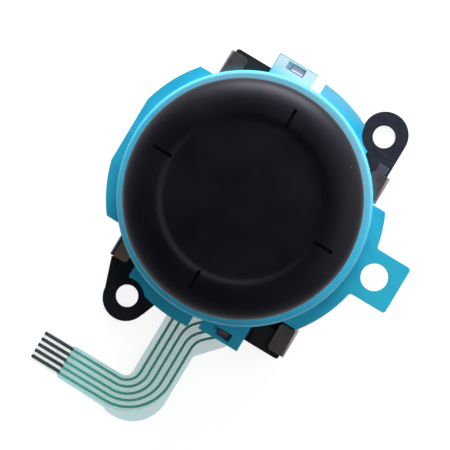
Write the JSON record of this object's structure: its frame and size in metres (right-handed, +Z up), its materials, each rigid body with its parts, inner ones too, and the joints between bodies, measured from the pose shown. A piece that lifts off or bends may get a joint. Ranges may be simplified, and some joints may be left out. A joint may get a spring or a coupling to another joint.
{
  "type": "controller analog stick",
  "caption": "Low-profile analog stick module with a round dished thumb cap, a coloured cover ring, screw ears and a flat film tail.",
  "frame": {"origin": "where the stick's axis meets the underside of the base plate", "axes": "+Z up the stick's axis towards the thumb cap, +X towards the square ear of the cover, -Y towards the film tail"},
  "size_m": [0.0226, 0.0296, 0.0113],
  "materials": {
    "plated_steel": "dark plated sheet",
    "spring_steel": "bright spring steel",
    "circuit_film": "pale teal polyimide film with printed tracks",
    "clear_film": "clear polyester film",
    "black_moulding": "fine satin",
    "white_moulding": "natural acetal",
    "blue_moulding": "semi-gloss cyan blue",
    "soft_skin": "soft-touch black elastomer",
    "gilt_leaf": "gilt spring bronze"
  },
  "bodies": {
    "module": {"base_plate": "plated_steel", "flex_circuit": "circuit_film", "tail_stiffener": "clear_film", "click_dome": "spring_steel", "dome_film": "clear_film", "frame": "black_moulding", "housing": "blue_moulding", "return_spring": "spring_steel"},
    "ring": {"ring_rocker": "white_moulding"},
    "hub": {"pivot_hub": "white_moulding"},
    "stick": {"lever": "black_moulding", "spring_seat": "spring_steel", "dust_skirt": "black_moulding", "cap_core": "black_moulding", "thumb_cap": "soft_skin"},
    "arch": {"arch_rocker": "white_moulding"},
    "carriage_y": {"slider_y": "white_moulding", "wiper_y": "gilt_leaf"},
    "carriage_x": {"slider_x": "white_moulding", "wiper_x": "gilt_leaf"}
  },
  "joints": [
    {"name": "tilt_x", "type": "hinge", "parent": "module", "child": "ring", "pos_m": [0, 0, 0.0028], "axis": [1, 0, 0], "range_deg": [-15, 15], "stiffness_Nm_per_rad": 0.008},
    {"name": "tilt_y", "type": "hinge", "parent": "ring", "child": "hub", "pos_m": [0, 0, 0.0028], "axis": [0, 1, 0], "range_deg": [-15, 15], "stiffness_Nm_per_rad": 0.008},
    {"name": "press", "type": "slide", "parent": "hub", "child": "stick", "axis": [0, 0, -1], "range_m": [0, 0.0003], "stiffness_N_per_m": 2500, "deforming": ["return_spring", "click_dome", "dome_film"]},
    {"name": "arch_tilt", "type": "hinge", "parent": "module", "child": "arch", "pos_m": [0, 0, 0.0028], "axis": [0, 1, 0], "range_deg": [-15, 15]},
    {"name": "carriage_y_slide", "type": "slide", "parent": "module", "child": "carriage_y", "axis": [0, 1, 0], "range_m": [-0.0004, 0.0004]},
    {"name": "carriage_x_slide", "type": "slide", "parent": "module", "child": "carriage_x", "axis": [1, 0, 0], "range_m": [-0.0004, 0.0004]}
  ],
  "couplings": [
    {"joint": "arch_tilt", "follows": "tilt_y", "ratio": 1},
    {"joint": "carriage_y_slide", "follows": "tilt_x", "m_per_rad": 0.0015},
    {"joint": "carriage_x_slide", "follows": "tilt_y", "m_per_rad": -0.0015}
  ]
}
